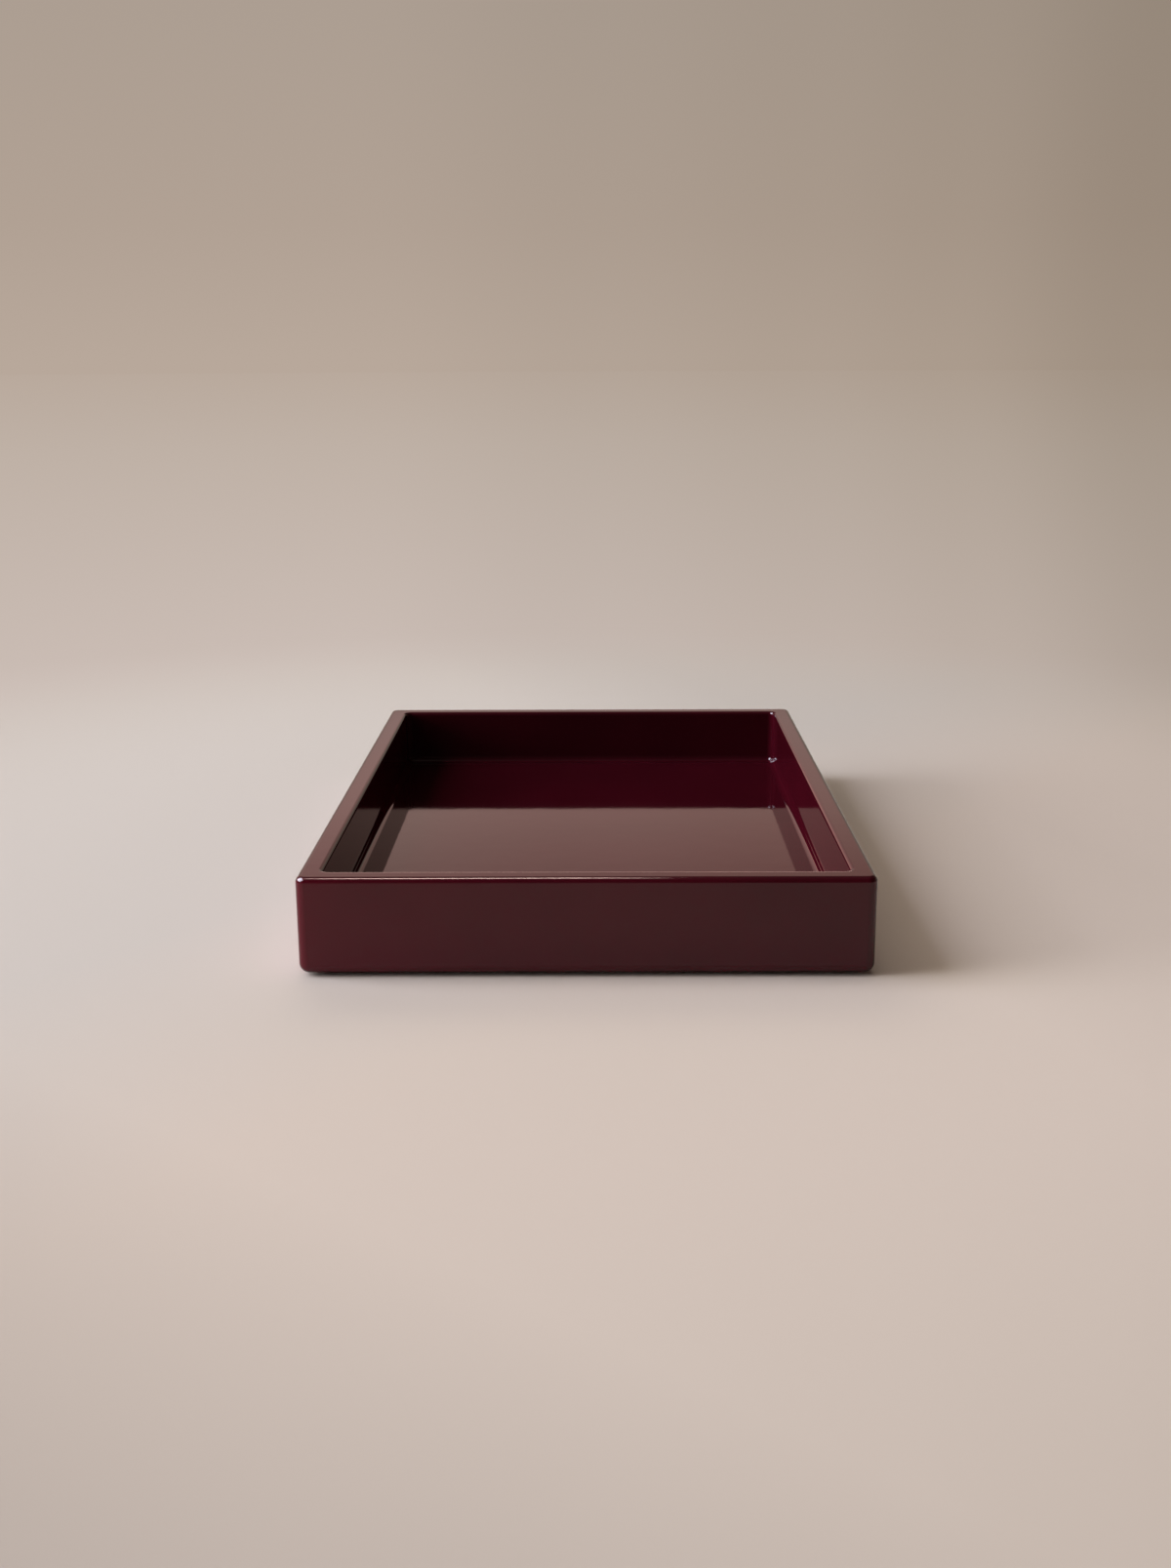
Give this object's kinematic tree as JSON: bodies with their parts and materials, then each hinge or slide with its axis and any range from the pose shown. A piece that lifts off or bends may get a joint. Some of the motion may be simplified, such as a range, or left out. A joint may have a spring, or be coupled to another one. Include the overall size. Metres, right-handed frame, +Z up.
{
  "type": "tray",
  "caption": "Rectangular tray with straight walls, a coved inside, softly rounded edges and a flat floor, finished all over in deep red gloss lacquer.",
  "frame": {"origin": "middle of the footprint, on the surface that the felt pads stand on", "axes": "+X across the tray to the right, +Y along its length to the back, +Z up"},
  "size_m": [0.25, 0.35, 0.045],
  "materials": {
    "lacquer": "polished high-gloss burgundy lacquer over fibreboard",
    "tenon_wood": "bare beech, glued in",
    "felt": "pressed wool felt"
  },
  "bodies": {
    "root": {"front_rail": "lacquer", "right_rail": "lacquer", "back_rail": "lacquer", "left_rail": "lacquer", "floor_panel": "lacquer", "front_left_tenon": "tenon_wood", "front_right_tenon": "tenon_wood", "back_right_tenon": "tenon_wood", "back_left_tenon": "tenon_wood", "front_left_pad": "felt", "front_right_pad": "felt", "back_right_pad": "felt", "back_left_pad": "felt"}
  },
  "joints": []
}
